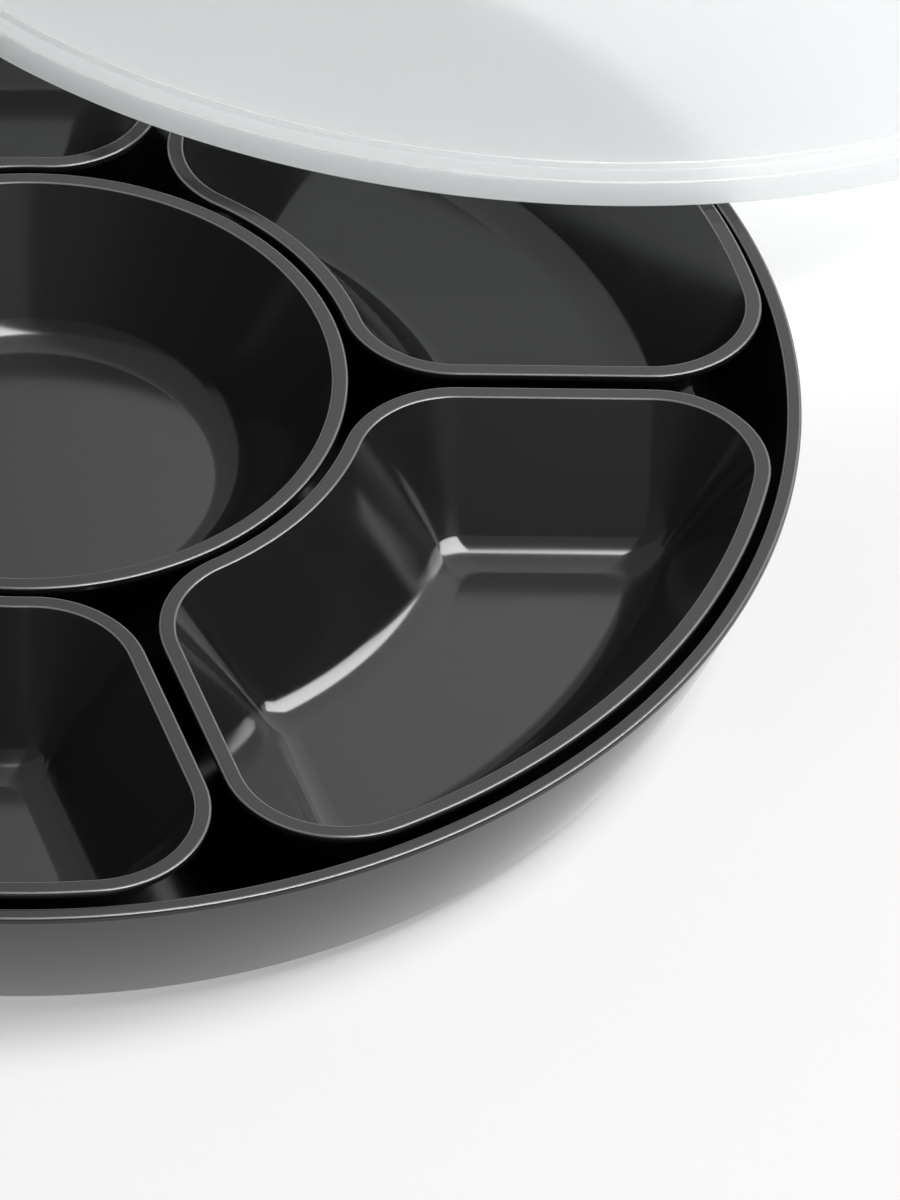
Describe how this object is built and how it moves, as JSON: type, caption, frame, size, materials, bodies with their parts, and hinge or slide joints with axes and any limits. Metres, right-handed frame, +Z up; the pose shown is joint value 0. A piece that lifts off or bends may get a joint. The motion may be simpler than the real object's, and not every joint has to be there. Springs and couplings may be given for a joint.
{
  "type": "lazy susan serving set with bowls",
  "caption": "Round rotating serving tray on a ball-race base, with a round middle bowl, sector bowls around it, and a stepped frosted cover that leans on their rims.",
  "frame": {"origin": "centre of the turntable base's flat underside, on the spin axis; the feet stand 1 mm below it", "axes": "+Z up along the spin axis; the viewer of the picture stands on the -Y side, so -Y is the front; +X is the set's right"},
  "size_m": [0.4658, 0.5763, 0.0594],
  "materials": {
    "gloss_dark_plastic": "gloss",
    "satin_dark_plastic": "satin",
    "natural_nylon": "satin",
    "black_rubber": "matte",
    "steel": "polished",
    "frosted_plastic": "frosted, translucent"
  },
  "bodies": {
    "base": {"base_plate": "satin_dark_plastic", "rubber_foot_1": "black_rubber", "rubber_foot_2": "black_rubber", "rubber_foot_3": "black_rubber", "rubber_foot_4": "black_rubber", "rubber_foot_5": "black_rubber", "rubber_foot_6": "black_rubber", "retaining_washer": "steel", "pivot_screw": "steel"},
    "ball_ring": {"ball_cage": "natural_nylon", "race_ball_1": "steel", "race_ball_2": "steel", "race_ball_3": "steel", "race_ball_4": "steel", "race_ball_5": "steel", "race_ball_6": "steel", "race_ball_7": "steel", "race_ball_8": "steel", "race_ball_9": "steel", "race_ball_10": "steel", "race_ball_11": "steel", "race_ball_12": "steel"},
    "tray": {"tray": "gloss_dark_plastic"},
    "centre_bowl": {"centre_bowl": "gloss_dark_plastic"},
    "sector_bowl_1": {"sector_bowl_1": "gloss_dark_plastic"},
    "sector_bowl_2": {"sector_bowl_2": "gloss_dark_plastic"},
    "sector_bowl_3": {"sector_bowl_3": "gloss_dark_plastic"},
    "sector_bowl_4": {"sector_bowl_4": "gloss_dark_plastic"},
    "sector_bowl_5": {"sector_bowl_5": "gloss_dark_plastic"},
    "cover": {"cover": "frosted_plastic"}
  },
  "joints": [
    {"name": "tray_spin", "type": "hinge", "parent": "base", "child": "tray", "pos_m": [0, 0, 0], "axis": [0, 0, 1], "continuous": true},
    {"name": "ball_ring_spin", "type": "hinge", "parent": "base", "child": "ball_ring", "pos_m": [0, 0, 0], "axis": [0, 0, 1], "continuous": true},
    {"name": "centre_bowl_lift", "type": "slide", "parent": "tray", "child": "centre_bowl", "axis": [0, 0, 1], "range_m": [0, 0.1]},
    {"name": "sector_bowl_1_lift", "type": "slide", "parent": "tray", "child": "sector_bowl_1", "axis": [0, 0, 1], "range_m": [0, 0.1]},
    {"name": "sector_bowl_2_lift", "type": "slide", "parent": "tray", "child": "sector_bowl_2", "axis": [0, 0, 1], "range_m": [0, 0.1]},
    {"name": "sector_bowl_3_lift", "type": "slide", "parent": "tray", "child": "sector_bowl_3", "axis": [0, 0, 1], "range_m": [0, 0.1]},
    {"name": "sector_bowl_4_lift", "type": "slide", "parent": "tray", "child": "sector_bowl_4", "axis": [0, 0, 1], "range_m": [0, 0.1]},
    {"name": "sector_bowl_5_lift", "type": "slide", "parent": "tray", "child": "sector_bowl_5", "axis": [0, 0, 1], "range_m": [0, 0.1]},
    {"name": "cover_lift", "type": "slide", "parent": "base", "child": "cover", "axis": [0, 0, 1], "range_m": [0, 0.2]}
  ],
  "couplings": [
    {"joint": "ball_ring_spin", "follows": "tray_spin", "ratio": 0.5},
    {"joint": "sector_bowl_2_lift", "follows": "cover_lift", "ratio": 0.5},
    {"joint": "sector_bowl_3_lift", "follows": "cover_lift", "ratio": 0.5}
  ]
}
